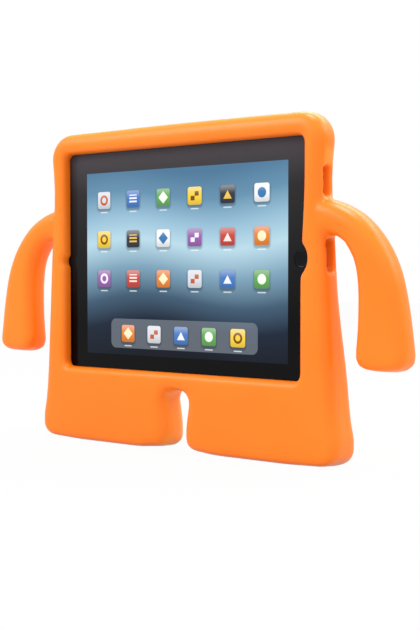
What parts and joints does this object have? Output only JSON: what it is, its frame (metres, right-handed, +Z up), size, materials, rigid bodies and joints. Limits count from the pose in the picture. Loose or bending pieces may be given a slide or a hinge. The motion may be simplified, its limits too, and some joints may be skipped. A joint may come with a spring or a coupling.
{
  "type": "kids tablet case with handle",
  "caption": "Thick foam tablet case shaped as a standing figure, with arms as carrying handles, feet as a stand and a tablet seated behind its front lip.",
  "frame": {"origin": "on the floor under the middle of the case, halfway between its front face and the back of its feet", "axes": "+Z up, -Y towards the screen side, +X to the right of someone looking at the screen"},
  "size_m": [0.3906, 0.032, 0.2465],
  "materials": {
    "foam": "closed-cell foam with a soft satin skin",
    "shell_metal": "blasted and anodised",
    "black_glass": "polished, printed black behind",
    "display": "lit panel",
    "battery_film": "film",
    "circuit_board": "solder mask",
    "black_plastic": "matt",
    "button_black": "smooth",
    "socket_metal": "plated"
  },
  "bodies": {
    "case_with_tablet": {"case_back": "foam", "case_top": "foam", "case_left_shoulder": "foam", "case_right_shoulder": "foam", "case_left_side": "foam", "case_right_side": "foam", "case_waist": "foam", "case_left_foot": "foam", "case_right_foot": "foam", "case_left_arm": "foam", "case_right_arm": "foam", "tablet_rear_shell": "shell_metal", "tablet_cover_glass": "black_glass", "tablet_display_panel": "display", "tablet_battery_cell_left": "battery_film", "tablet_battery_cell_middle": "battery_film", "tablet_battery_cell_right": "battery_film", "tablet_logic_board": "circuit_board", "tablet_home_switch": "circuit_board", "tablet_front_camera": "black_plastic", "tablet_rear_camera": "black_plastic", "tablet_charging_socket": "socket_metal", "tablet_headphone_socket": "socket_metal", "tablet_speaker": "black_plastic"},
    "home_button": {"tablet_home_button": "button_black"},
    "power_button": {"tablet_power_button": "button_black"},
    "volume_rocker": {"tablet_volume_rocker": "button_black"},
    "mute_switch": {"tablet_mute_switch": "button_black"}
  },
  "joints": [
    {"name": "home_button_press", "type": "slide", "parent": "case_with_tablet", "child": "home_button", "axis": [0, 1, 0], "range_m": [0, 0.0003], "stiffness_N_per_m": 300},
    {"name": "power_button_press", "type": "slide", "parent": "case_with_tablet", "child": "power_button", "axis": [1, 0, 0], "range_m": [0, 0.0004], "stiffness_N_per_m": 300},
    {"name": "volume_rocker_tilt", "type": "hinge", "parent": "case_with_tablet", "child": "volume_rocker", "pos_m": [-0.0626, -0.0013, 0.2333], "axis": [0, 1, 0], "range_deg": [-1.2, 1.2], "stiffness_Nm_per_rad": 0.05},
    {"name": "mute_switch_slide", "type": "slide", "parent": "case_with_tablet", "child": "mute_switch", "axis": [1, 0, 0], "range_m": [0, 0.0015]}
  ]
}
